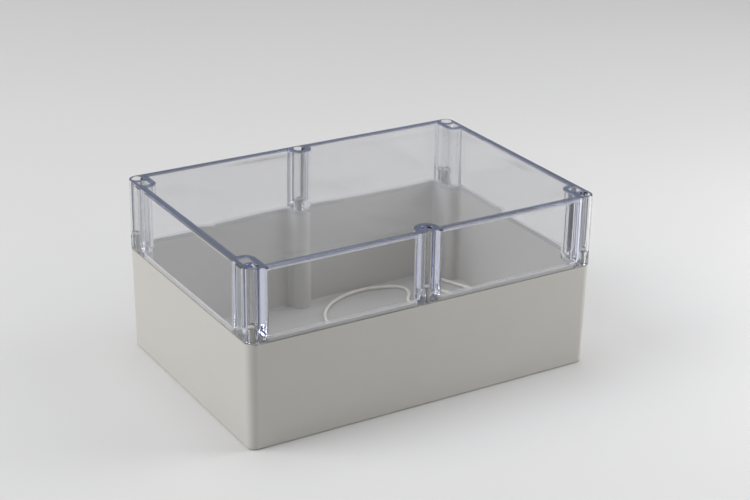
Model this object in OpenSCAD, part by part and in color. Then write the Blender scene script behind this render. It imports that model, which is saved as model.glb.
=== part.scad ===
// Screw-down wall box: a grey moulded base and a deep clear lid.
// The lid drops over a tongue on the base's rim and is held by six screws, which run down
// through tubes in the lid into brass thread inserts in the base. The strip that seals the
// joint is not fitted yet and lies loose on the floor of the base.
// Origin: middle of the underside. X runs along the length, the front is -Y, Z is up.
// All sizes are in millimetres.

/* [Overall] */
// Outer length at the joint between base and lid
box_l = 263; // [200:1:340]
// Outer width at the joint
box_w = 182; // [140:1:240]
// Height of the base, from the underside to the joint
base_h = 74.4; // [50:0.2:110]
// Height of the lid, from the joint to its top
lid_h = 50.6; // [36:0.2:80]
// Radius of the upright outer corners
corner_r = 6.5; // [4:0.1:8]

/* [Walls] */
// Wall of the base at its rim
base_wall = 3; // [2.6:0.1:4]
// Floor of the base
floor_t = 3.2; // [2:0.1:6]
// Top plate of the lid
top_t = 3; // [2:0.1:6]
// Lean of the base's outer sides, in over its height
base_draft = 0.9; // [0:0.1:2]
// Lean of the lid's outer sides, in over its height
lid_draft = 0.25; // [0:0.05:1]
// Lean of the inner sides of base and lid, in over their depth
core_draft = 0.4; // [0:0.1:1]
// Step by which the lid stands proud of the base on each side
seam_step = 0.2; // [0:0.05:0.5]
// Round of the outer edge of the underside
foot_r = 1.5; // [0.5:0.1:3]
// Round of the lid's top edge
brow_r = 0.5; // [0.3:0.1:1.8]
// Hollow round between the lid's top plate and its walls
ceiling_r = 0.8; // [0.5:0.1:3]
// Hollow round between the base's floor and its walls
floor_r = 1.5; // [0.5:0.1:3]

/* [Rim] */
// Height of the tongue on the base's rim
tongue_h = 2.2; // [1:0.1:6]
// Thickness of the tongue
tongue_t = 1.5; // [1:0.1:2]
// Clearance on each side of the tongue in the lid's groove
tongue_gap = 0.2; // [0.1:0.05:0.4]
// Lip of the lid that reaches down inside the tongue
lip_t = 0.8; // [0.5:0.1:1.5]
// Room left over the tongue for the seal strip
seal_room = 1.6; // [1:0.1:4]
// Diameter of the seal strip
seal_d = 2.5; // [1.5:0.1:4]

/* [Columns] */
// Distance of every screw from the outer faces beside it
screw_inset = 6; // [5.6:0.1:9]
// Reach of a corner column along the length
column_l = 13.1; // [12:0.1:20]
// Reach of a corner column along the width
column_w = 23; // [20:0.1:34]
// Round of a corner column's inner edge
column_r = 6; // [4:0.1:8]
// Radius of the boss in the middle of each long side
boss_r = 7.5; // [6.5:0.1:10]
// Hollow round where a column or boss meets a wall
flare_r = 3; // [1.5:0.1:4]
// Radius of the tube around a corner screw
tube_r = 6; // [5:0.1:7]
// Wall left outside the pocket in a corner column
pocket_wall = 2.9; // [2:0.1:4]
// Floor under the pocket in a corner column
pocket_floor = 5; // [3:0.1:8]
// Round of the pocket's corners
pocket_r = 2; // [1:0.1:3]
// Diameter of the wall fixing hole under each pocket
fixing_d = 4.8; // [4:0.1:6]

/* [Screws] */
// Diameter over the thread of a lid screw
screw_d = 3.9; // [3:0.1:5]
// Length of a lid screw under its head
screw_l = 20; // [14:1:30]
// Diameter of the screw head
head_d = 7.2; // [5.5:0.1:9]
// Height of the screw head
head_h = 2.8; // [2:0.1:4]
// Height of the seats for the screw heads above the joint
seat_h = 9.6; // [7:0.1:14]
// Clearance around the screw head in the lid
head_gap = 0.3; // [0.1:0.05:1]
// Clearance around the shank in the lid
shank_gap = 0.25; // [0.1:0.05:0.6]
// Clearance of the screw in its insert
thread_gap = 0.05; // [0.02:0.01:0.1]
// Outer diameter of a brass insert
insert_d = 5.6; // [5:0.1:7]
// Length of a brass insert
insert_l = 8; // [5:0.5:12]
// Depth of the insert's top below the joint
insert_drop = 0.2; // [0.1:0.1:1]
// Bite of the insert into the wall of its hole
insert_bite = 0.05; // [0:0.01:0.1]

/* [Hidden] */
PLACES = ["front_left", "front_middle", "front_right", "back_left", "back_middle", "back_right"];

$fn = 64;
// Facets of a corner post in a hulled shell
POST_FN = 48;
// Overlap that makes a cut run clear through a face
over = 1;

base_l = box_l - 2 * seam_step;
base_w = box_w - 2 * seam_step;
cavity_l = base_l - 2 * base_wall;
cavity_w = base_w - 2 * base_wall;
core_r = 4;
top_z = base_h + lid_h;
lid_inset = tongue_gap + lip_t;
groove_h = tongue_h + seal_room;

screw_x = box_l / 2 - screw_inset;
screw_y = box_w / 2 - screw_inset;
SCREW_AT = [
    [-screw_x, -screw_y], [0, -screw_y], [screw_x, -screw_y],
    [-screw_x, screw_y], [0, screw_y], [screw_x, screw_y]
];
head_hole_r = head_d / 2 + head_gap;
shank_hole_r = screw_d / 2 + shank_gap;
thread_hole_r = screw_d / 2 + thread_gap;
insert_hole_r = insert_d / 2 - insert_bite;
seat_z = base_h + seat_h;
insert_z = base_h - insert_drop - insert_l;
tip_z = seat_z - screw_l;

pocket_x0 = box_l / 2 - column_l + base_wall;
pocket_x1 = box_l / 2 - pocket_wall;
pocket_y0 = box_w / 2 - column_w + base_wall;
fixing_x = (pocket_x0 + pocket_x1) / 2;
fixing_y = (pocket_y0 + screw_y - tube_r) / 2;

// The loose seal strip: its height over the floor and its route, one end to the other
strip_z = floor_t + seal_d / 2 + 0.2;
strip_route = [
    [-56, 26], [-86, 16], [-108, -8], [-110, -38], [-92, -62], [-62, -70], [-34, -56], [-18, -30],
    [-9, -2], [-4, 22], [0, 44], [8, 62], [24, 76], [46, 83], [66, 81], [80, 73], [80, 62],
    [72, 50], [73, 40], [84, 31], [98, 32], [106, 42], [103, 53], [95, 62], [93, 73], [100, 81],
    [110, 79], [118, 62], [125, 42], [126, 14], [123, -16], [115, -46], [92, -66], [60, -70],
    [34, -54], [28, -26], [44, -6], [70, -6], [88, -22], [90, -34]
];
STRIP_STEPS = 2;
STRIP_SIDES = 8;

// Children in all four corners; they are drawn for the one at +X +Y
module in_corners() {
    for (mx = [0, 1], my = [0, 1])
        mirror([mx, 0, 0]) mirror([0, my, 0]) children();
}

// Children on both long sides; they are drawn for the one at +Y
module on_long_sides() {
    for (my = [0, 1])
        mirror([0, my, 0]) children();
}

// Points of a quarter round about [cx, cy], from angle a to angle a + 90
function quarter(cx, cy, r, a) =
    [for (i = [0 : 4]) [cx + r * cos(a + i * 22.5), cy + r * sin(a + i * 22.5)]];

// One corner of a leaning shell: radius r_low at the bottom and r_high at height h,
// with its lower and upper edges rounded, and a straight stretch above when extra is set
module post(r_low, r_high, h, low_round = 0, high_round = 0, extra = 0) {
    low = low_round > 0 ? quarter(r_low - low_round, low_round, low_round, -90) : [[r_low, 0]];
    high = high_round > 0 ? quarter(r_high - high_round, h - high_round, high_round, 0) : [[r_high, h]];
    rest = extra > 0 ? [[r_high, h + extra]] : [];
    rotate_extrude($fn = POST_FN)
        polygon(concat([[0, 0]], low, high, rest, [[0, h + extra]]));
}

// Hull of four corner posts that stand r in from the sides of an l by w rectangle
module posts(l, w, r) {
    hull()
        in_corners() translate([l / 2 - r, w / 2 - r, 0]) children();
}

// What a hollow round of radius f leaves standing in a corner at the origin, towards -X -Y
module hollow_round_2d(f) {
    difference() {
        translate([-f, -f]) square(f + over);
        translate([-f, -f]) circle(f);
    }
}

// Plan of the corner column at +X +Y, with its faces moved back by g
module column_2d(g) {
    r = column_r - g;
    x0 = box_l / 2 - column_l + g;
    y0 = box_w / 2 - column_w + g;
    translate([x0 + r, y0]) square([column_l, column_w]);
    translate([x0, y0 + r]) square([column_l, column_w]);
    translate([x0 + r, y0 + r]) circle(r);
    translate([cavity_l / 2 + g, y0]) hollow_round_2d(flare_r + g);
    translate([x0, cavity_w / 2 + g]) hollow_round_2d(flare_r + g);
}

// Points of an arc about [cx, cy] from angle a to angle b, in n steps
function arc(cx, cy, r, a, b, n) =
    [for (i = [0 : n]) let (t = a + (b - a) * i / n) [cx + r * cos(t), cy + r * sin(t)]];

// Plan of the boss in the middle of the long side at +Y, flared into the wall,
// with its faces moved back by g
module boss_2d(g) {
    flare_y = cavity_w / 2 - flare_r;
    flare_x = sqrt(pow(boss_r + flare_r, 2) - pow(flare_y - screw_y, 2));
    // Angle at which the flare on the right touches the boss
    touch = atan2(flare_y - screw_y, flare_x);
    right = arc(flare_x, flare_y, flare_r + g, 90, 180 + touch, 6);
    round_end = arc(0, screw_y, boss_r - g, touch, -180 - touch, 20);
    left = arc(-flare_x, flare_y, flare_r + g, -touch, 90, 6);
    inner = [for (i = [1 : len(round_end) - 2]) round_end[i]];
    polygon(concat([[flare_x, box_w / 2]], right, inner, left, [[-flare_x, box_w / 2]]));
}

// Plan of the columns and bosses together
module uprights_2d(g) {
    in_corners() column_2d(g);
    on_long_sides() boss_2d(g);
}

// Plan of the space inside the rim, widened by g; the tongue and its groove follow it
module inside_2d(g) {
    difference() {
        square([cavity_l + 2 * g, cavity_w + 2 * g], center = true);
        uprights_2d(g);
    }
}

// Plan of the pocket beside the corner screw at +X +Y
module pocket_2d() {
    l = pocket_x1 - pocket_x0;
    w = screw_y - pocket_y0;
    difference() {
        translate([pocket_x0, pocket_y0]) {
            translate([pocket_r, 0]) square([l - 2 * pocket_r, w]);
            translate([0, pocket_r]) square([l, w - pocket_r]);
            for (x = [pocket_r, l - pocket_r])
                translate([x, pocket_r]) circle(pocket_r);
        }
        translate([screw_x, screw_y]) circle(tube_r);
    }
}

// Room inside the base: a leaning core less the uprights
module base_room() {
    depth = base_h - floor_t;
    difference() {
        translate([0, 0, floor_t])
            posts(cavity_l, cavity_w, core_r) post(core_r - core_draft, core_r, depth, low_round = floor_r, extra = over);
        linear_extrude(base_h + 2 * over) uprights_2d(0);
    }
}

module base_shell() color([0.76, 0.755, 0.73]) {
    difference() {
        posts(base_l, base_w, corner_r) post(corner_r - base_draft, corner_r, base_h, low_round = foot_r);
        base_room();
        in_corners() {
            translate([0, 0, pocket_floor]) linear_extrude(base_h) pocket_2d();
            translate([fixing_x, fixing_y, -over]) cylinder(d = fixing_d, h = pocket_floor + 2 * over);
        }
        for (at = SCREW_AT) translate(at) {
            translate([0, 0, insert_z]) cylinder(r = insert_hole_r, h = base_h);
            translate([0, 0, tip_z - 2]) cylinder(r = shank_hole_r, h = base_h);
        }
    }
    translate([0, 0, base_h - over]) linear_extrude(tongue_h + over)
        difference() {
            inside_2d(tongue_t);
            inside_2d(0);
        }
}

// Room inside the lid: a leaning core less the uprights
module lid_room() {
    l = cavity_l - 2 * lid_inset;
    w = cavity_w - 2 * lid_inset;
    depth = lid_h - top_t;
    difference() {
        translate([0, 0, base_h - over])
            posts(l, w, core_r) post(core_r, core_r - core_draft, depth + over, high_round = ceiling_r);
        translate([0, 0, base_h - 2 * over]) linear_extrude(lid_h + over) uprights_2d(-lid_inset);
    }
}

module lid_shell() color([0.82, 0.85, 0.95, 0.35]) {
    difference() {
        translate([0, 0, base_h])
            posts(box_l, box_w, corner_r) post(corner_r, corner_r - lid_draft, lid_h, high_round = brow_r);
        lid_room();
        translate([0, 0, base_h - over]) linear_extrude(groove_h + over)
            difference() {
                inside_2d(tongue_t + tongue_gap);
                inside_2d(-tongue_gap);
            }
        translate([0, 0, base_h - over]) linear_extrude(lid_h - top_t + over) in_corners() pocket_2d();
        for (at = SCREW_AT) translate(at) {
            translate([0, 0, base_h - over]) cylinder(r = shank_hole_r, h = lid_h);
            translate([0, 0, seat_z]) cylinder(r = head_hole_r, h = lid_h);
            translate([0, 0, top_z - head_gap]) cylinder(r1 = head_hole_r, r2 = head_hole_r + 2 * head_gap, h = 2 * head_gap);
        }
    }
}

// Brass insert at the origin: a collar ring is turned into its outside, and its bore runs through
module thread_insert() color([0.80, 0.62, 0.28]) {
    ring_w = insert_l / 5;
    ring_r = (thread_hole_r + insert_d / 2) / 2;
    difference() {
        cylinder(d = insert_d, h = insert_l);
        translate([0, 0, (insert_l - ring_w) / 2]) difference() {
            cylinder(d = insert_d + over, h = ring_w);
            cylinder(r = ring_r, h = ring_w);
        }
        translate([0, 0, -over]) cylinder(r = thread_hole_r, h = insert_l + 2 * over);
        translate([0, 0, insert_l - 0.3]) cylinder(r1 = thread_hole_r, r2 = thread_hole_r + 0.6, h = 0.6);
    }
}

// Lid screw with the underside of its head at the origin and a cross recess in its domed head
module lid_screw() color([0.72, 0.72, 0.74]) {
    head_r = head_d / 2;
    rim_h = 0.55 * head_h;
    dome_h = head_h - rim_h;
    dome_r = (head_r * head_r + dome_h * dome_h) / (2 * dome_h);
    dome_a = asin(head_r / dome_r);
    dome = [for (i = [0 : 6]) let (a = dome_a * (1 - i / 6)) [dome_r * sin(a), head_h - dome_r * (1 - cos(a))]];
    recess_h = 0.6 * head_h;
    difference() {
        union() {
            rotate_extrude() polygon(concat([[0, 0], [head_r, 0]], dome));
            translate([0, 0, 1 - screw_l]) cylinder(d = screw_d, h = screw_l - 1 + rim_h / 2);
            translate([0, 0, -screw_l]) cylinder(d1 = screw_d - 1.2, d2 = screw_d, h = 1);
        }
        for (turn = [0, 90])
            rotate(turn) translate([-2.1, -0.5, head_h - recess_h]) cube([4.2, 1, head_h]);
    }
}

// Point of the strip's curve at t, from 0 to 1 between route points i and i + 1
function route_at(i) = strip_route[max(0, min(len(strip_route) - 1, i))];
function on_curve(i, t) =
    let (a = route_at(i - 1), b = route_at(i), c = route_at(i + 1), d = route_at(i + 2))
    0.5 * (2 * b + (c - a) * t + (2 * a - 5 * b + 4 * c - d) * t * t + (3 * b - a - 3 * c + d) * t * t * t);

module seal_strip() color([0.90, 0.87, 0.80]) {
    last = len(strip_route) - 1;
    line = concat(
        [for (i = [0 : last - 1], s = [0 : STRIP_STEPS - 1]) on_curve(i, s / STRIP_STEPS)],
        [strip_route[last]]
    );
    count = len(line);
    rings = [for (k = [0 : count - 1])
        let (way = line[min(count - 1, k + 1)] - line[max(0, k - 1)], side = [-way[1], way[0]] / norm(way))
        for (j = [0 : STRIP_SIDES - 1])
            let (a = 360 * j / STRIP_SIDES, reach = seal_d / 2 * cos(a))
            [line[k][0] + reach * side[0], line[k][1] + reach * side[1], strip_z + seal_d / 2 * sin(a)]];
    walls = [for (k = [0 : count - 2], j = [0 : STRIP_SIDES - 1])
        let (n = (j + 1) % STRIP_SIDES, p = k * STRIP_SIDES, q = p + STRIP_SIDES)
        [p + j, p + n, q + n, q + j]];
    start = [[for (j = [0 : STRIP_SIDES - 1]) STRIP_SIDES - 1 - j]];
    finish = [[for (j = [0 : STRIP_SIDES - 1]) (count - 1) * STRIP_SIDES + j]];
    polyhedron(points = rings, faces = concat(start, walls, finish));
}

base_shell();
lid_shell();
seal_strip();
for (i = [0 : len(PLACES) - 1]) {
    translate([0, 0, insert_z]) translate(SCREW_AT[i]) thread_insert();
    translate([0, 0, seat_z]) translate(SCREW_AT[i]) lid_screw();
}
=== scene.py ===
"""Looks of a deep wall box: a grey moulded base under a clear lid held by six screws.

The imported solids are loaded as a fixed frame. Each sub-assembly is a class that dresses its
own solids or builds the pieces that stand for them, in metres, in the frame of the solids.
"""

import logging
import math
from dataclasses import dataclass
from enum import Enum
from typing import Iterable, Sequence

import bpy
from mathutils import Matrix, Vector

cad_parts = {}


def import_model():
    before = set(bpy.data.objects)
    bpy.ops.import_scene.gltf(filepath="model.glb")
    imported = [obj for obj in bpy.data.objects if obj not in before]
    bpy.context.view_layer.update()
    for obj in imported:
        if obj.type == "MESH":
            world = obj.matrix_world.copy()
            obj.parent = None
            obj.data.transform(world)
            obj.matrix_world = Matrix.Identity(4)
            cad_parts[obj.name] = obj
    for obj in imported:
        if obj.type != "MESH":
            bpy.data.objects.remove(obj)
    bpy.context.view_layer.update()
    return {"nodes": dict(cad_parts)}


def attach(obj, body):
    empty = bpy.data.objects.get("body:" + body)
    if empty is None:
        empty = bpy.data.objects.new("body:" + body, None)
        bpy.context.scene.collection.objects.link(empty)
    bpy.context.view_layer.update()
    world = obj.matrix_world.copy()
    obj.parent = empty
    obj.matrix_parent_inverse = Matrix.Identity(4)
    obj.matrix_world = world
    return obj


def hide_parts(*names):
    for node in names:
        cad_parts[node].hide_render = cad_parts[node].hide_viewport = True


log = logging.getLogger("wall_box")

Colour = tuple[float, float, float]
Point = tuple[float, float, float]
Pair = tuple[float, float]
Socket = bpy.types.NodeSocket

MM = 0.001
FLOAT = "NodeSocketFloat"

# Bands of the box over which a mask rises, in millimetres
END_FACES = (130.7, 130.9)
LONG_FACES = (90.2, 90.4)
UNDER_JOINT = (73.7, 74.1)
TOP_EDGE = (122.4, 123.0)
TOP_FACE = (123.8, 124.6)
FRONT_LIP = (-89.6, -89.0)

# Share of a face's direction along an axis over which it comes to count as square to it
LEVEL = (0.6, 0.9)
FACING = (0.8, 0.95)

# Values of a noise between which a finish runs from one tone or sheen to the other
TONE_SPAN = (0.3, 0.7)
SHEEN_SPAN = (0.25, 0.75)


class Place(Enum):
    """Places of the six lid screws and of the inserts under them."""

    FRONT_LEFT = "front_left"
    FRONT_MIDDLE = "front_middle"
    FRONT_RIGHT = "front_right"
    BACK_LEFT = "back_left"
    BACK_MIDDLE = "back_middle"
    BACK_RIGHT = "back_right"


# ---------------------------------------------------------------- node helpers


class Graph:
    """Short calls that add nodes to one node tree and link them."""

    def __init__(self, tree: bpy.types.NodeTree) -> None:
        """Keeps the tree.

        Args:
            tree: node tree of a material, a world or a group.
        """
        self.tree = tree

    def add(self, kind: str, **settings: object) -> bpy.types.Node:
        """Adds one node.

        Args:
            kind: the node's type, without its leading "ShaderNode".
            settings: properties of the node, or values of its inputs by name with
                underscores for spaces.

        Returns:
            The new node.
        """
        node = self.tree.nodes.new("ShaderNode" + kind)
        for name, value in settings.items():
            if hasattr(node, name):
                setattr(node, name, value)
            else:
                self.feed(node.inputs[name.replace("_", " ")], value)
        return node

    def feed(self, socket: Socket, value: object) -> None:
        """Links an output to an input, or writes a plain value into it.

        Args:
            socket: the input.
            value: an output socket, a number or a tuple.
        """
        if isinstance(value, Socket):
            self.tree.links.new(value, socket)
        elif isinstance(value, tuple) and len(value) == 3 and socket.type == "RGBA":
            socket.default_value = (*value, 1.0)
        else:
            socket.default_value = value

    def math(self, operation: str, a: object, b: object = 0.0) -> Socket:
        """Adds a Math node.

        Args:
            operation: the name of the operation, such as "MULTIPLY".
            a: first value or socket.
            b: second value or socket.

        Returns:
            Its output.
        """
        node = self.add("Math", operation=operation)
        self.feed(node.inputs[0], a)
        self.feed(node.inputs[1], b)
        return node.outputs[0]

    def times(self, *factors: object) -> Socket:
        """Multiplies values.

        Args:
            factors: numbers or sockets.

        Returns:
            Their product.
        """
        product = factors[0]
        for factor in factors[1:]:
            product = self.math("MULTIPLY", product, factor)
        return product

    def rest(self, share: object) -> Socket:
        """Gives what a share leaves of 1.

        Args:
            share: a value from 0 to 1, or its socket.

        Returns:
            The socket of 1 less the share.
        """
        return self.math("SUBTRACT", 1.0, share)

    def reach(self, a: object, b: object) -> Socket:
        """Gives the length of a flat vector whose negative parts count as zero.

        Args:
            a: first part.
            b: second part.

        Returns:
            The length's socket.
        """
        node = self.add("VectorMath", operation="LENGTH")
        flat = self.add("CombineXYZ")
        self.feed(flat.inputs[0], self.math("MAXIMUM", a, 0.0))
        self.feed(flat.inputs[1], self.math("MAXIMUM", b, 0.0))
        self.feed(node.inputs[0], flat.outputs[0])
        return node.outputs["Value"]

    def mix(self, share: object, a: object, b: object) -> Socket:
        """Mixes two colours.

        Args:
            share: how much of b shows, from 0 to 1.
            a: first colour or socket.
            b: second colour or socket.

        Returns:
            The mixed colour's socket.
        """
        node = self.add("Mix", data_type="RGBA")
        self.feed(node.inputs["Factor"], share)
        self.feed(node.inputs[6], a)
        self.feed(node.inputs[7], b)
        return node.outputs[2]

    def here(self) -> Socket:
        """Gives the place on the object.

        Returns:
            The socket of its coordinates, in metres, in the frame of the solids.
        """
        return self.add("TexCoord").outputs["Object"]

    def axes(self, vector: object) -> bpy.types.NodeOutputs:
        """Splits a vector.

        Args:
            vector: the vector's socket.

        Returns:
            Its parts, by the names X, Y and Z.
        """
        node = self.add("SeparateXYZ")
        self.feed(node.inputs[0], vector)
        return node.outputs

    def size(self, value: object) -> Socket:
        """Gives a value without its sign.

        Args:
            value: the value's socket.

        Returns:
            The size's socket.
        """
        return self.math("ABSOLUTE", value)

    def seen(self) -> Socket:
        """Tells rays that show a surface from rays that only gather its light.

        Returns:
            The socket of 1 on camera, glossy and transmission rays, and 0 on others.
        """
        light = self.add("LightPath")
        share = light.outputs["Is Camera Ray"]
        for name in ("Is Glossy Ray", "Is Transmission Ray"):
            share = self.math("MAXIMUM", share, light.outputs[name])
        return share

    def noise(
        self, where: object, scale: float, detail: float = 2.0, roughness: float = 0.5
    ) -> Socket:
        """Adds a noise texture.

        Args:
            where: coordinates, in metres.
            scale: cells per metre.
            detail: octaves.
            roughness: weight of each finer octave.

        Returns:
            The noise value's socket.
        """
        node = self.add("TexNoise", Scale=scale, Detail=detail, Roughness=roughness)
        self.feed(node.inputs["Vector"], where)
        return node.outputs["Fac"]

    def span(
        self, value: object, low: float, high: float, to_low: float = 0.0, to_high: float = 1.0
    ) -> Socket:
        """Maps a span of values to another, clamped and eased.

        Args:
            value: the input value or socket.
            low: input that gives to_low.
            high: input that gives to_high.
            to_low: output at low.
            to_high: output at high.

        Returns:
            The mapped value's socket.
        """
        node = self.add("MapRange", interpolation_type="SMOOTHSTEP")
        for name, number in zip(
            ("Value", "From Min", "From Max", "To Min", "To Max"),
            (value, low, high, to_low, to_high),
        ):
            self.feed(node.inputs[name], number)
        return node.outputs["Result"]

    def rise(self, value: object, band: Pair) -> Socket:
        """Rises from 0 to 1 over a band of the box.

        Args:
            value: a coordinate in metres, or its socket.
            band: where the rise starts and ends, in millimetres.

        Returns:
            The risen value's socket.
        """
        return self.span(value, band[0] * MM, band[1] * MM)

    def fall(self, value: object, band: Pair) -> Socket:
        """Falls from 1 to 0 over a band of the box.

        Args:
            value: a coordinate in metres, or its socket.
            band: where the fall starts and ends, in millimetres.

        Returns:
            The fallen value's socket.
        """
        return self.span(value, band[0] * MM, band[1] * MM, 1.0, 0.0)

    def relief(
        self, shader: bpy.types.Node, height: object, strength: float, depth: float
    ) -> None:
        """Gives a shader a fine relief.

        Args:
            shader: the shader.
            height: the relief's height, from 0 to 1, or its socket.
            strength: how much of the relief shows, from 0 to 1.
            depth: depth of the relief at full height, in metres.
        """
        bump = self.add("Bump", Strength=strength, Distance=depth)
        self.feed(bump.inputs["Height"], height)
        self.feed(shader.inputs["Normal"], bump.outputs["Normal"])


def new_group(
    name: str, inputs: dict[str, tuple[str, object]], outputs: dict[str, str]
) -> tuple[bpy.types.NodeTree, Graph, bpy.types.Node, bpy.types.Node]:
    """Makes an empty shader node group.

    Args:
        name: the group's name.
        inputs: socket type and default value by input name.
        outputs: socket type by output name.

    Returns:
        The group, a Graph on it, its input node and its output node.
    """
    tree = bpy.data.node_groups.new(name, "ShaderNodeTree")
    for label, (kind, default) in inputs.items():
        socket = tree.interface.new_socket(label, in_out="INPUT", socket_type=kind)
        socket.default_value = default
    for label, kind in outputs.items():
        tree.interface.new_socket(label, in_out="OUTPUT", socket_type=kind)
    graph = Graph(tree)
    return tree, graph, tree.nodes.new("NodeGroupInput"), tree.nodes.new("NodeGroupOutput")


def moulded_grain() -> bpy.types.NodeTree:
    """Builds the group for the grain of a moulded surface.

    Returns:
        A group that gives Height, Tone and Sheen over the surface from the scales of
        its Coarse, Fine and Flow patterns, in cells per metre.
    """
    tree, graph, given, out = new_group(
        "moulded_grain",
        {"Coarse": (FLOAT, 60.0), "Fine": (FLOAT, 2600.0), "Flow": (FLOAT, 12.0)},
        {"Height": FLOAT, "Tone": FLOAT, "Sheen": FLOAT},
    )
    where = graph.here()
    fine = graph.add("TexNoise", Detail=3.0, Roughness=0.6)
    coarse = graph.add("TexNoise", Detail=2.0, Roughness=0.5)
    flow = graph.add("TexNoise", Detail=1.0, Distortion=0.6)
    for node, label in ((fine, "Fine"), (coarse, "Coarse"), (flow, "Flow")):
        graph.feed(node.inputs["Vector"], where)
        graph.feed(node.inputs["Scale"], given.outputs[label])
    fine, coarse, flow = (node.outputs["Fac"] for node in (fine, coarse, flow))
    height = graph.math("ADD", fine, graph.times(coarse, 0.5))
    tone = graph.math("ADD", graph.times(flow, 0.7), graph.times(coarse, 0.3))
    graph.feed(out.inputs["Height"], height)
    graph.feed(out.inputs["Tone"], tone)
    graph.feed(out.inputs["Sheen"], coarse)
    return tree


@dataclass(frozen=True)
class LidPlan:
    """Plan of one quarter of the lid, in millimetres from its middle.

    Attributes:
        wall: inner faces of the walls, along X and along Y.
        column: middle of the round on the inner edge of a corner column.
        column_round: radius of that round.
        screw: axis of a corner screw; a middle boss has the same Y.
        boss_round: radius of a middle boss.
        tube_round: radius of the tube around a corner screw.
        pocket: middle of a pocket along X, and its inner face along Y.
        pocket_half: half of the pocket's width.
        room_x: band over which the room ends along X.
        room_y: band over which the room ends along Y.
        soft: half of the width of a mask's edge.
    """

    wall: Pair = (126.9, 86.4)
    column: Pair = (124.4, 74.0)
    column_round: float = 7.0
    screw: Pair = (125.5, 85.0)
    boss_round: float = 8.5
    tube_round: float = 6.0
    pocket: Pair = (125.0, 71.0)
    pocket_half: float = 3.6
    room_x: Pair = (116.0, 126.0)
    room_y: Pair = (76.0, 86.0)
    soft: float = 0.15

    def within(self, graph: Graph, distance: object, radius: float) -> Socket:
        """Marks what lies nearer than a radius.

        Args:
            graph: the group's graph.
            distance: the distance's socket.
            radius: the radius, in millimetres.

        Returns:
            The mask's socket.
        """
        return graph.fall(distance, (radius - self.soft, radius + self.soft))

    def group(self) -> bpy.types.NodeTree:
        """Builds the group for the lid's plan.

        Returns:
            A group whose Solid is 1 where a wall, a column or a boss stands under the
            lid's top, and 0 over the room and over the pockets in the columns. Its
            Upright is 1 where a column or a boss stands, and its Room grows from 0 at
            the walls to 1 ten millimetres inside them.
        """
        outputs = {"Solid": FLOAT, "Upright": FLOAT, "Room": FLOAT}
        tree, graph, _, out = new_group("lid_plan", {}, outputs)
        axes = graph.axes(graph.here())
        u, v = graph.size(axes["X"]), graph.size(axes["Y"])

        def short_of(value: object, edge: float) -> Socket:
            """Tells how far a coordinate falls short of an edge."""
            return graph.math("SUBTRACT", edge * MM, value)

        def aside(middle: float) -> Socket:
            """Tells how far a place lies to either side of a middle line along Y."""
            return graph.size(graph.math("SUBTRACT", u, middle * MM))

        wall = graph.math(
            "MAXIMUM",
            self.within(graph, short_of(u, self.wall[0]), 0.0),
            self.within(graph, short_of(v, self.wall[1]), 0.0),
        )
        column_reach = graph.reach(short_of(u, self.column[0]), short_of(v, self.column[1]))
        to_screws = short_of(v, self.screw[1])
        column = self.within(graph, column_reach, self.column_round)
        boss = self.within(graph, graph.reach(u, to_screws), self.boss_round)
        upright = graph.math("MAXIMUM", column, boss)
        tube_reach = graph.reach(aside(self.screw[0]), to_screws)
        pocket = graph.times(
            self.within(graph, aside(self.pocket[0]), self.pocket_half),
            self.within(graph, short_of(v, self.pocket[1]), 0.0),
            graph.rest(self.within(graph, tube_reach, self.tube_round)),
        )
        solid = graph.times(graph.math("MAXIMUM", wall, upright), graph.rest(pocket))
        room = graph.times(graph.fall(u, self.room_x), graph.fall(v, self.room_y))
        graph.feed(out.inputs["Solid"], solid)
        graph.feed(out.inputs["Upright"], upright)
        graph.feed(out.inputs["Room"], room)
        return tree


def painted_joint_shade() -> bpy.types.NodeTree:
    """Builds the group for the painted shade along the joint just under the lid.

    Returns:
        A group whose Mask is 1 on the outside of the base within half a millimetre of
        the lid.
    """
    tree, graph, _, out = new_group("painted_joint_shade", {}, {"Mask": FLOAT})
    axes = graph.axes(graph.here())
    side = graph.rise(graph.size(axes["X"]), END_FACES)
    face = graph.rise(graph.size(axes["Y"]), LONG_FACES)
    near = graph.rise(axes["Z"], UNDER_JOINT)
    graph.feed(out.inputs["Mask"], graph.times(graph.math("MAXIMUM", side, face), near))
    return tree


def slow_waves() -> bpy.types.NodeTree:
    """Builds the group for the slow waves that cooling leaves in a large clear moulding.

    Returns:
        A group that gives a Height over the surface from a Scale in waves per metre.
    """
    tree, graph, given, out = new_group(
        "slow_waves", {"Scale": (FLOAT, 14.0)}, {"Height": FLOAT}
    )
    noise = graph.add("TexNoise", Detail=0.0)
    graph.feed(noise.inputs["Vector"], graph.here())
    graph.feed(noise.inputs["Scale"], given.outputs["Scale"])
    graph.feed(out.inputs["Height"], noise.outputs["Fac"])
    return tree


def stray_specks() -> bpy.types.NodeTree:
    """Builds the group for the few specks of dust and scuffs on a clean surface.

    Returns:
        A group that gives a Mask of specks from a Scale in cells per metre, the Share
        of the cells that carry one, and its Radius as a share of a cell.
    """
    tree, graph, given, out = new_group(
        "stray_specks",
        {"Scale": (FLOAT, 60.0), "Share": (FLOAT, 0.06), "Radius": (FLOAT, 0.035)},
        {"Mask": FLOAT},
    )
    cells = graph.add("TexVoronoi", feature="F1")
    graph.feed(cells.inputs["Vector"], graph.here())
    graph.feed(cells.inputs["Scale"], given.outputs["Scale"])
    near = graph.math("LESS_THAN", cells.outputs["Distance"], given.outputs["Radius"])
    split = graph.add("SeparateColor")
    graph.feed(split.inputs["Color"], cells.outputs["Color"])
    chosen = graph.math("LESS_THAN", split.outputs["Red"], given.outputs["Share"])
    graph.feed(out.inputs["Mask"], graph.times(near, chosen))
    return tree


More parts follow.
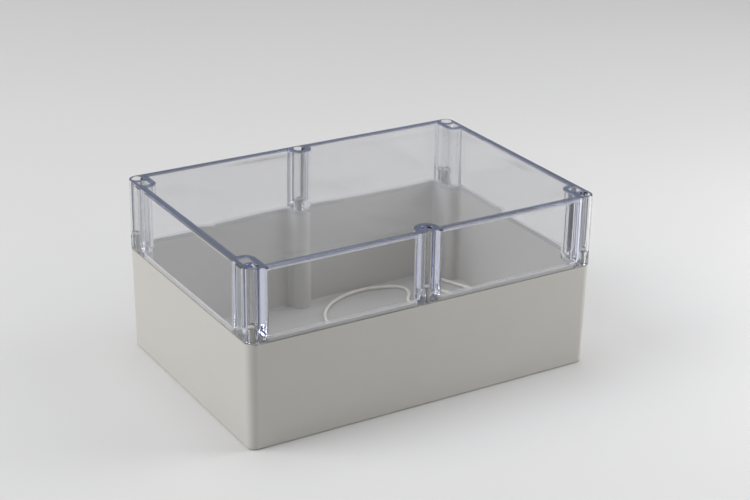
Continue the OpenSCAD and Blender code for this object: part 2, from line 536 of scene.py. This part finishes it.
def place_group(graph: Graph, name: str, **values: float) -> bpy.types.Node:
    """Places a node group in a material with its own values.

    Args:
        graph: the material's graph.
        name: the group's name.
        values: its inputs by name.

    Returns:
        The group node.
    """
    node = graph.tree.nodes.new("ShaderNodeGroup")
    node.node_tree = bpy.data.node_groups[name]
    for label, value in values.items():
        node.inputs[label].default_value = value
    return node


def new_material(name: str) -> tuple[bpy.types.Material, Graph, bpy.types.Node]:
    """Makes a material with one Principled shader.

    Args:
        name: the material's name.

    Returns:
        The material, a Graph on it and the shader.
    """
    material = bpy.data.materials.new(name)
    material.use_nodes = True
    return material, Graph(material.node_tree), material.node_tree.nodes["Principled BSDF"]


# ---------------------------------------------------------------- finishes


@dataclass(frozen=True)
class MouldedPlastic:
    """Satin opaque plastic as it leaves the mould.

    Attributes:
        colour: its lighter tone.
        shade: its darker tone.
        joint_shade_colour: colour of the painted shade along the joint under the lid.
        speck: colour of a speck of dust.
        roughness: roughness of the satin.
        smoother: how far the roughness falls in places.
        rougher: how far it rises in places.
        grain_depth: depth of the moulded grain, in metres.
        ior: index of refraction.
    """

    colour: Colour
    shade: Colour
    joint_shade_colour: Colour
    speck: Colour = (0.16, 0.11, 0.07)
    roughness: float = 0.42
    smoother: float = 0.04
    rougher: float = 0.05
    grain_depth: float = 0.06 * MM
    ior: float = 1.55

    def material(self, name: str) -> bpy.types.Material:
        """Builds the material.

        Args:
            name: its name.

        Returns:
            The material.
        """
        material, graph, shader = new_material(name)
        grain = place_group(graph, "moulded_grain", Coarse=70.0, Fine=2400.0, Flow=9.0)
        specks = place_group(graph, "stray_specks", Scale=45.0, Share=0.05, Radius=0.02)
        line = place_group(graph, "painted_joint_shade")
        share = graph.span(grain.outputs["Tone"], *TONE_SPAN)
        clean = graph.mix(share, self.shade, self.colour)
        # Painted shade: the joint colour darkens the outside of the base along the joint under
        # the lid.
        clean = graph.mix(line.outputs["Mask"], clean, self.joint_shade_colour)
        tone = graph.mix(specks.outputs["Mask"], clean, self.speck)
        sheen = graph.span(
            grain.outputs["Sheen"], *SHEEN_SPAN,
            self.roughness - self.smoother, self.roughness + self.rougher,
        )
        graph.feed(shader.inputs["Base Color"], tone)
        graph.feed(shader.inputs["Roughness"], sheen)
        graph.relief(shader, grain.outputs["Height"], 0.25, self.grain_depth)
        shader.inputs["IOR"].default_value = self.ior
        return material


@dataclass(frozen=True)
class ClearPlastic:
    """Clear moulded polycarbonate with a faint tint that gathers along its walls, and painted
    shade on its top over the walls, columns and bosses.

    Attributes:
        tint: colour of its faces.
        painted_edge_shade: painted shade on the top over walls, columns and bosses, which darkens
            what is seen down into them.
        depth_colour: colour that light takes on in the depth of the moulding.
        density: how soon it does, per metre.
        wall_roughness: roughness of upright faces.
        plate_roughness: roughness of level faces.
        edge_roughness: what the top edge of a long wall has on top of that.
        lip_share: share of the painted edge shade that the lip of the front wall lacks.
        wave: height of the slow waves in the top plate, in metres.
        wave_scale: slow waves per metre.
        through: colour of light that passes on to what the lid shades.
        ior: index of refraction.
    """

    tint: Colour
    painted_edge_shade: Colour
    depth_colour: Colour
    density: float
    wall_roughness: float
    plate_roughness: float
    edge_roughness: float
    wave: float
    lip_share: float = 0.75
    wave_scale: float = 17.0
    through: Colour = (0.93, 0.94, 0.96)
    ior: float = 1.585

    def material(self, name: str) -> bpy.types.Material:
        """Builds the material.

        Args:
            name: its name.

        Returns:
            The material.
        """
        material, graph, shader = new_material(name)
        shader.inputs["Transmission Weight"].default_value = 1.0
        shader.inputs["IOR"].default_value = self.ior
        surface = graph.add("NewGeometry")
        facing = graph.axes(surface.outputs["True Normal"])
        place = graph.axes(graph.here())
        plan = place_group(graph, "lid_plan")
        level = graph.span(graph.size(facing["Z"]), *LEVEL)
        between_posts = graph.rest(plan.outputs["Upright"])

        # Painted shade: the top over walls, columns and bosses takes the dark edge colour, which
        # darkens what is seen down into them.
        top = graph.times(
            plan.outputs["Solid"], graph.rise(place["Z"], TOP_FACE),
            graph.rest(surface.outputs["Backfacing"]), level,
        )
        lip = graph.times(graph.fall(place["Y"], FRONT_LIP), between_posts, self.lip_share)
        edge = graph.times(top, graph.rest(lip))
        graph.feed(shader.inputs["Base Color"], graph.mix(edge, self.tint, self.painted_edge_shade))

        brow = graph.times(
            graph.rise(place["Z"], TOP_EDGE), between_posts,
            graph.span(graph.size(facing["Y"]), *FACING), self.edge_roughness,
        )
        finish = graph.span(level, 0.0, 1.0, self.wall_roughness, self.plate_roughness)
        graph.feed(shader.inputs["Roughness"], graph.math("ADD", finish, brow))

        waves = place_group(graph, "slow_waves", Scale=self.wave_scale)
        swell = graph.math("SUBTRACT", waves.outputs["Height"], 0.5)
        swell = graph.times(swell, plan.outputs["Room"], level)
        graph.relief(shader, swell, 1.0, self.wave)
        self.fill(material, graph, shader)
        return material

    def fill(
        self, material: bpy.types.Material, graph: Graph, shader: bpy.types.Node
    ) -> None:
        """Lets light through to what the lid shades, and tints the lid's depth.

        Args:
            material: the material.
            graph: its graph.
            shader: its Principled shader.
        """
        light = graph.add("LightPath")
        passes = graph.math(
            "MAXIMUM", light.outputs["Is Shadow Ray"], light.outputs["Is Diffuse Ray"]
        )
        clear = graph.add("BsdfTransparent", Color=self.through)
        blend = graph.add("MixShader")
        graph.feed(blend.inputs["Fac"], passes)
        graph.feed(blend.inputs[1], shader.outputs["BSDF"])
        graph.feed(blend.inputs[2], clear.outputs["BSDF"])
        depth = graph.add("VolumeAbsorption", Color=self.depth_colour, Density=self.density)
        out = material.node_tree.nodes["Material Output"]
        graph.feed(out.inputs["Surface"], blend.outputs[0])
        graph.feed(out.inputs["Volume"], depth.outputs["Volume"])


@dataclass(frozen=True)
class FoamRubber:
    """Soft foam cord with an open, matte skin.

    Attributes:
        colour: colour of the skin.
        shade: colour painted into its pores as their shade, and of soiled places.
        roughness: roughness of the skin.
        pore_depth: depth of the pores, in metres.
    """

    colour: Colour
    shade: Colour
    roughness: float = 0.8
    pore_depth: float = 0.1 * MM

    def material(self, name: str) -> bpy.types.Material:
        """Builds the material.

        Args:
            name: its name.

        Returns:
            The material.
        """
        material, graph, shader = new_material(name)
        where = graph.here()
        cells = graph.add("TexVoronoi", feature="F1", Scale=3200.0)
        graph.feed(cells.inputs["Vector"], where)
        pores = graph.span(cells.outputs["Distance"], 0.05, 0.5)
        soil = graph.span(graph.noise(where, 140.0, 3.0, 0.6), 0.25, 0.6, 0.55, 1.0)
        # Painted shade in the pores, mixed with real soiling from the noise.
        tone = graph.mix(graph.times(pores, soil), self.shade, self.colour)
        graph.feed(shader.inputs["Base Color"], tone)
        shader.inputs["Roughness"].default_value = self.roughness
        shader.inputs["Sheen Weight"].default_value = 0.2
        graph.relief(shader, pores, 0.35, self.pore_depth)
        return material


@dataclass(frozen=True)
class TurnedMetal:
    """Metal turned on a lathe, with fine rings round its axis.

    Attributes:
        colour: colour of clean metal.
        shade: colour of stained metal.
        roughness: roughness of clean metal.
        dulled: what a stain adds to it.
        ring_depth: depth of the rings, in metres.
    """

    colour: Colour
    shade: Colour
    roughness: float
    dulled: float = 0.1
    ring_depth: float = 0.03 * MM

    def material(self, name: str) -> bpy.types.Material:
        """Builds the material.

        Args:
            name: its name.

        Returns:
            The material.
        """
        material, graph, shader = new_material(name)
        where = graph.here()
        rings = graph.add(
            "TexWave", wave_type="BANDS", bands_direction="Z", Scale=900.0, Distortion=0.4
        )
        graph.feed(rings.inputs["Vector"], where)
        stain = graph.noise(where, 420.0, 3.0, 0.6)
        tone = graph.mix(graph.span(stain, *TONE_SPAN), self.shade, self.colour)
        sheen = graph.span(stain, *TONE_SPAN, self.roughness + self.dulled, self.roughness)
        graph.feed(shader.inputs["Base Color"], tone)
        graph.feed(shader.inputs["Roughness"], sheen)
        shader.inputs["Metallic"].default_value = 1.0
        graph.relief(shader, rings.outputs["Fac"], 0.2, self.ring_depth)
        return material


# ---------------------------------------------------------------- camera and studio


@dataclass
class Viewpoint:
    """The camera: where it stands and how it is turned."""

    place: Point = (-0.5682, -0.9550, 0.5531)
    yaw: float = 1.024
    pitch: float = -0.404
    roll: float = 0.017
    lens: float = 84.43
    sensor: float = 36.0

    def build(self) -> bpy.types.Object:
        """Makes the camera and hands it to the scene.

        Returns:
            The camera object.
        """
        ahead = Vector((
            math.cos(self.yaw) * math.cos(self.pitch),
            math.sin(self.yaw) * math.cos(self.pitch),
            math.sin(self.pitch),
        ))
        level = Vector((math.sin(self.yaw), -math.cos(self.yaw), 0.0))
        upright = level.cross(ahead)
        right = math.cos(self.roll) * level + math.sin(self.roll) * upright
        up = math.cos(self.roll) * upright - math.sin(self.roll) * level
        data = bpy.data.cameras.new("view")
        data.lens, data.sensor_width = self.lens, self.sensor
        data.clip_start, data.clip_end = 0.01, 60.0
        camera = bpy.data.objects.new("view", data)
        turn = Matrix((right, up, -ahead)).transposed().to_4x4()
        camera.matrix_world = Matrix.Translation(self.place) @ turn
        bpy.context.scene.collection.objects.link(camera)
        bpy.context.scene.camera = camera
        return camera


@dataclass(frozen=True)
class Softbox:
    """One soft lamp, aimed at a point."""

    name: str
    place: Point
    aim: Point
    width: float
    height: float
    power: float
    colour: Colour = (1.0, 1.0, 1.0)

    def build(self) -> bpy.types.Object:
        """Makes the lamp.

        Returns:
            The lamp object.
        """
        data = bpy.data.lights.new(self.name, "AREA")
        data.shape, data.size, data.size_y = "RECTANGLE", self.width, self.height
        data.energy, data.color = self.power, self.colour
        lamp = bpy.data.objects.new(self.name, data)
        lamp.location = self.place
        way = Vector(self.aim) - Vector(self.place)
        lamp.rotation_euler = way.to_track_quat("-Z", "Y").to_euler()
        bpy.context.scene.collection.objects.link(lamp)
        return lamp


@dataclass
class Studio:
    """Pale floor, soft lamps and the pale room around them.

    Attributes:
        floor_reach: radius of the floor, in metres.
        floor_sides: sides of its rim.
        floor_colour: colour of the floor.
        floor_dim: how much of that its darker patches keep.
        glow_band: distances over which the far floor brightens, in metres.
        far_glow: how much brighter the far floor is seen.
        room_light: the room as it lights the box.
        room_seen: the room as it is seen.
    """

    floor_reach: float = 9.0
    floor_sides: int = 96
    floor_colour: Colour = (0.62, 0.62, 0.62)
    floor_dim: float = 0.985
    glow_band: Pair = (1.2, 4.5)
    far_glow: Colour = (0.42, 0.42, 0.42)
    room_light: Colour = (0.315, 0.315, 0.315)
    room_seen: Colour = (0.62, 0.62, 0.63)

    def build(self) -> None:
        """Makes the floor, the lamps and the world."""
        self.floor()
        self.world()
        for lamp in self.lamps():
            lamp.build()
        bpy.context.scene.view_settings.view_transform = "Standard"
        cycles = bpy.context.scene.cycles
        cycles.max_bounces, cycles.transmission_bounces = 24, 20
        cycles.glossy_bounces, cycles.transparent_max_bounces = 16, 24

    def lamps(self) -> list[Softbox]:
        """Lists the lamps.

        Returns:
            The soft lamps of the studio.
        """
        aim = (0.0, 0.0, 0.06)
        return [
            Softbox("left_softbox", (-1.7, 0.5, 1.2), aim, 1.4, 1.4, 31.0),
            Softbox("top_softbox", (0.0, 0.35, 2.0), aim, 1.6, 1.6, 14.0),
            Softbox("right_softbox", (1.05, -0.35, 0.75), (0.25, 0.0, 0.0), 0.9, 0.9, 6.5),
            Softbox(
                "right_reflector", (0.60, -0.32, 0.22), (0.16, -0.07, 0.0), 0.30, 0.30, 1.2
            ),
        ]

    def floor(self) -> None:
        """Makes the floor, a wide round sheet with a soft grey finish."""
        turns = [2 * math.pi * k / self.floor_sides for k in range(self.floor_sides)]
        rim = [
            (self.floor_reach * math.cos(turn), self.floor_reach * math.sin(turn), 0.0)
            for turn in turns
        ]
        mesh = bpy.data.meshes.new("floor")
        mesh.from_pydata(rim, [], [tuple(range(self.floor_sides))])
        sheet = bpy.data.objects.new("floor", mesh)
        bpy.context.scene.collection.objects.link(sheet)
        material, graph, shader = new_material("floor")
        where = graph.here()
        tone = graph.span(graph.noise(where, 3.0), *TONE_SPAN)
        dim = tuple(self.floor_dim * value for value in self.floor_colour)
        graph.feed(shader.inputs["Base Color"], graph.mix(tone, dim, self.floor_colour))
        shader.inputs["Roughness"].default_value = 0.7
        shader.inputs["Emission Strength"].default_value = 1.0
        distance = graph.add("VectorMath", operation="LENGTH")
        graph.feed(distance.inputs[0], where)
        far = graph.span(distance.outputs["Value"], *self.glow_band)
        glow = graph.mix(graph.times(graph.seen(), far), (0.0, 0.0, 0.0), self.far_glow)
        graph.feed(shader.inputs["Emission Color"], glow)
        mesh.materials.append(material)

    def world(self) -> None:
        """Makes the room: one pale colour to light with, another to be seen."""
        world = bpy.data.worlds.new("room")
        bpy.context.scene.world = world
        world.use_nodes = True
        graph = Graph(world.node_tree)
        background = world.node_tree.nodes["Background"]
        colour = graph.mix(graph.seen(), self.room_light, self.room_seen)
        graph.feed(background.inputs["Color"], colour)


# ---------------------------------------------------------------- the box


def dress(piece: bpy.types.Object, material: bpy.types.Material) -> None:
    """Gives a solid of the frame its finish.

    Args:
        piece: the solid.
        material: its finish.
    """
    if not piece.material_slots:
        piece.data.materials.append(material)
    for slot in piece.material_slots:
        slot.material = material


@dataclass
class SealStrip:
    """The loose strip of seal cord on the floor of the base.

    Attributes:
        diameter: diameter of the cord, in metres.
        floor: height of the base's floor, in metres.
        lift: gap between the floor and the cord, in metres.
        steps: points for each stretch of the route.
        slot: a material slot name for it; not used.
        route: where the cord lies, from end to end, in millimetres.
    """

    diameter: float = 2.5 * MM
    floor: float = 3.2 * MM
    lift: float = 0.2 * MM
    steps: int = 8
    slot: str = "seal"
    route: tuple[Pair, ...] = (
        (-56, 26), (-86, 16), (-108, -8), (-110, -38), (-92, -62), (-62, -70), (-34, -56),
        (-18, -30), (-9, -2), (-4, 22), (0, 44), (8, 62), (24, 76), (46, 83),
        (66, 81), (80, 73), (80, 62), (72, 50), (73, 40), (84, 31), (98, 32),
        (106, 42), (103, 53), (95, 62), (93, 73), (100, 81), (110, 79), (118, 62),
        (125, 42), (126, 14), (123, -16), (115, -46), (92, -66), (60, -70), (34, -54),
        (28, -26), (44, -6), (70, -6), (88, -22), (90, -34),
    )

    def line(self) -> list[Vector]:
        """Runs a smooth curve through the route.

        Returns:
            Its points, in metres.
        """
        height = self.floor + self.diameter / 2 + self.lift
        stops = [Vector((x * MM, y * MM, height)) for x, y in self.route]
        stops = [stops[0], *stops, stops[-1]]
        points = []
        for a, b, c, d in zip(stops, stops[1:], stops[2:], stops[3:]):
            for step in range(self.steps):
                t = step / self.steps
                points.append(0.5 * (
                    2 * b + (c - a) * t + (2 * a - 5 * b + 4 * c - d) * t ** 2
                    + (3 * b - a - 3 * c + d) * t ** 3
                ))
        return [*points, stops[-1]]

    def build(self, material: bpy.types.Material) -> bpy.types.Object:
        """Args:
            material: its finish.

        Returns:
            The strip.
        """
        points = self.line()
        curve = bpy.data.curves.new("seal_cord", "CURVE")
        curve.dimensions, curve.bevel_depth = "3D", self.diameter / 2
        curve.bevel_resolution, curve.use_fill_caps = 4, True
        spline = curve.splines.new("POLY")
        spline.points.add(len(points) - 1)
        for point, place in zip(spline.points, points):
            point.co = (*place, 1.0)
        strip = bpy.data.objects.new("seal_cord", curve)
        bpy.context.scene.collection.objects.link(strip)
        curve.materials.append(material)
        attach(strip, "base")
        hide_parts("seal_strip")
        return strip


@dataclass
class Base:
    """The grey base with the brass inserts in its columns and bosses."""

    nodes: dict[str, bpy.types.Object]

    def build(self) -> None:
        """Dresses the base and its inserts."""
        plastic = MouldedPlastic(
            colour=(0.520, 0.505, 0.472),
            shade=(0.500, 0.485, 0.452),
            # Painted shade along the joint under the lid.
            joint_shade_colour=(0.22, 0.205, 0.18),
        ).material("grey_plastic")
        brass = TurnedMetal((0.80, 0.60, 0.27), (0.62, 0.43, 0.17), 0.26).material("turned_brass")
        dress(self.nodes["base_shell"], plastic)
        for place in Place:
            dress(self.nodes[f"insert_{place.value}"], brass)
        log.info("base_shell and %d inserts dressed", len(Place))


@dataclass
class Lid:
    """The clear lid."""

    nodes: dict[str, bpy.types.Object]

    def build(self) -> None:
        """Dresses the lid."""
        clear = ClearPlastic(
            # The edge colour is painted shade on the top over the walls, columns and bosses.
            tint=(0.94, 0.937, 0.93), painted_edge_shade=(0.08, 0.135, 0.28),
            depth_colour=(0.111, 0.222, 0.644), density=11.5,
            wall_roughness=0.02, plate_roughness=0.03, edge_roughness=0.60, wave=0.0016,
        ).material("clear_plastic")
        dress(self.nodes["lid_shell"], clear)
        log.info("lid_shell dressed")


@dataclass
class LidScrews:
    """The six lid screws."""

    nodes: dict[str, bpy.types.Object]

    def build(self) -> None:
        """Dresses the screws."""
        steel = TurnedMetal((0.40, 0.40, 0.37), (0.28, 0.28, 0.26), 0.42)
        finish = steel.material("stainless_steel")
        for place in Place:
            dress(self.nodes[f"screw_{place.value}"], finish)
        log.info("%d screws dressed", len(Place))


def main() -> None:
    """Builds the scene: camera, cord, base, lid, screws, studio."""
    logging.basicConfig(level=logging.INFO, format="%(name)s: %(message)s")
    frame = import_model()
    nodes = frame["nodes"]
    moulded_grain()
    LidPlan().group()
    painted_joint_shade()
    slow_waves()
    stray_specks()
    Viewpoint().build()
    rubber = FoamRubber((0.86, 0.82, 0.74), (0.66, 0.60, 0.50)).material("foam_rubber")
    SealStrip().build(rubber)
    Base(nodes).build()
    Lid(nodes).build()
    LidScrews(nodes).build()
    Studio().build()


if __name__ == "__main__":
    main()
